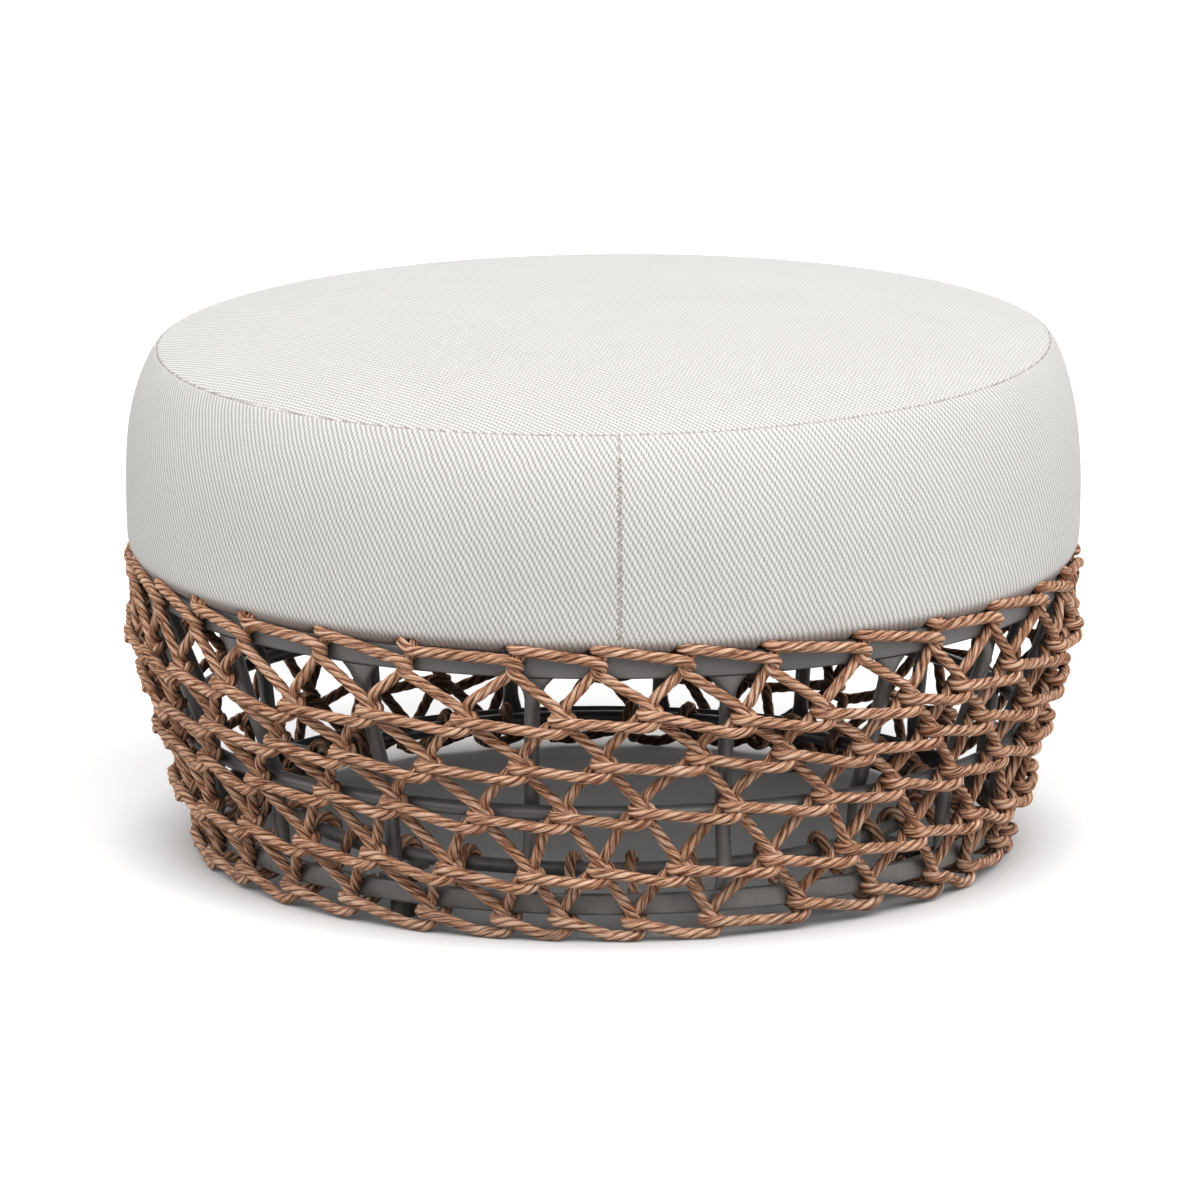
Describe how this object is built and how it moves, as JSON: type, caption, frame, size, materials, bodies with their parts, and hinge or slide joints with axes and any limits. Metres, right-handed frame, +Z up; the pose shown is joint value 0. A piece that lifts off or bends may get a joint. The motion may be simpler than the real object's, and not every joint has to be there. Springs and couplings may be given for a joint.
{
  "type": "outdoor ottoman footstool",
  "caption": "Round outdoor footstool: thick loose cushion on a low metal cage covered with an open net of twisted rope.",
  "frame": {"origin": "on the floor, under the centre of the footstool", "axes": "+Z up, -Y towards the front with the cushion's vertical seam, +X to the right"},
  "size_m": [0.7864, 0.7864, 0.4483],
  "materials": {
    "frame_paint": "satin powder coat, dark grey",
    "rope": "twisted rope, warm tan",
    "cover_fabric": "woven outdoor fabric, off-white",
    "foam": "open-cell foam, cream",
    "nylon": "moulded nylon, black",
    "zip_metal": "coated zip slider, pale"
  },
  "bodies": {
    "base": {"top_hoop": "frame_paint", "mid_ring": "frame_paint", "bottom_hoop": "frame_paint", "base_ring": "frame_paint", "upright_1": "frame_paint", "upright_2": "frame_paint", "upright_3": "frame_paint", "upright_4": "frame_paint", "upright_5": "frame_paint", "upright_6": "frame_paint", "upright_7": "frame_paint", "upright_8": "frame_paint", "upright_9": "frame_paint", "upright_10": "frame_paint", "upright_11": "frame_paint", "upright_12": "frame_paint", "upright_13": "frame_paint", "upright_14": "frame_paint", "upright_15": "frame_paint", "upright_16": "frame_paint", "deck_slat_1": "frame_paint", "deck_slat_2": "frame_paint", "deck_slat_3": "frame_paint", "deck_slat_4": "frame_paint", "deck_slat_5": "frame_paint", "base_spoke_1": "frame_paint", "base_spoke_2": "frame_paint", "base_spoke_3": "frame_paint", "base_spoke_4": "frame_paint", "glide_1": "nylon", "glide_2": "nylon", "glide_3": "nylon", "glide_4": "nylon", "rope_weave_1": "rope", "rope_weave_2": "rope", "rope_weave_3": "rope", "rope_weave_4": "rope", "rope_weave_5": "rope", "rope_weave_6": "rope", "rope_weave_7": "rope", "rope_weave_8": "rope"},
    "cushion": {"foam_core": "foam", "cover_bottom": "cover_fabric", "cover_band_right": "cover_fabric", "cover_band_left": "cover_fabric", "cover_top": "cover_fabric", "zip_tape": "cover_fabric", "zip_slider": "zip_metal"}
  },
  "joints": [
    {"name": "cushion_lift", "type": "slide", "parent": "base", "child": "cushion", "axis": [0, 0, 1], "range_m": [0, 0.15]}
  ]
}
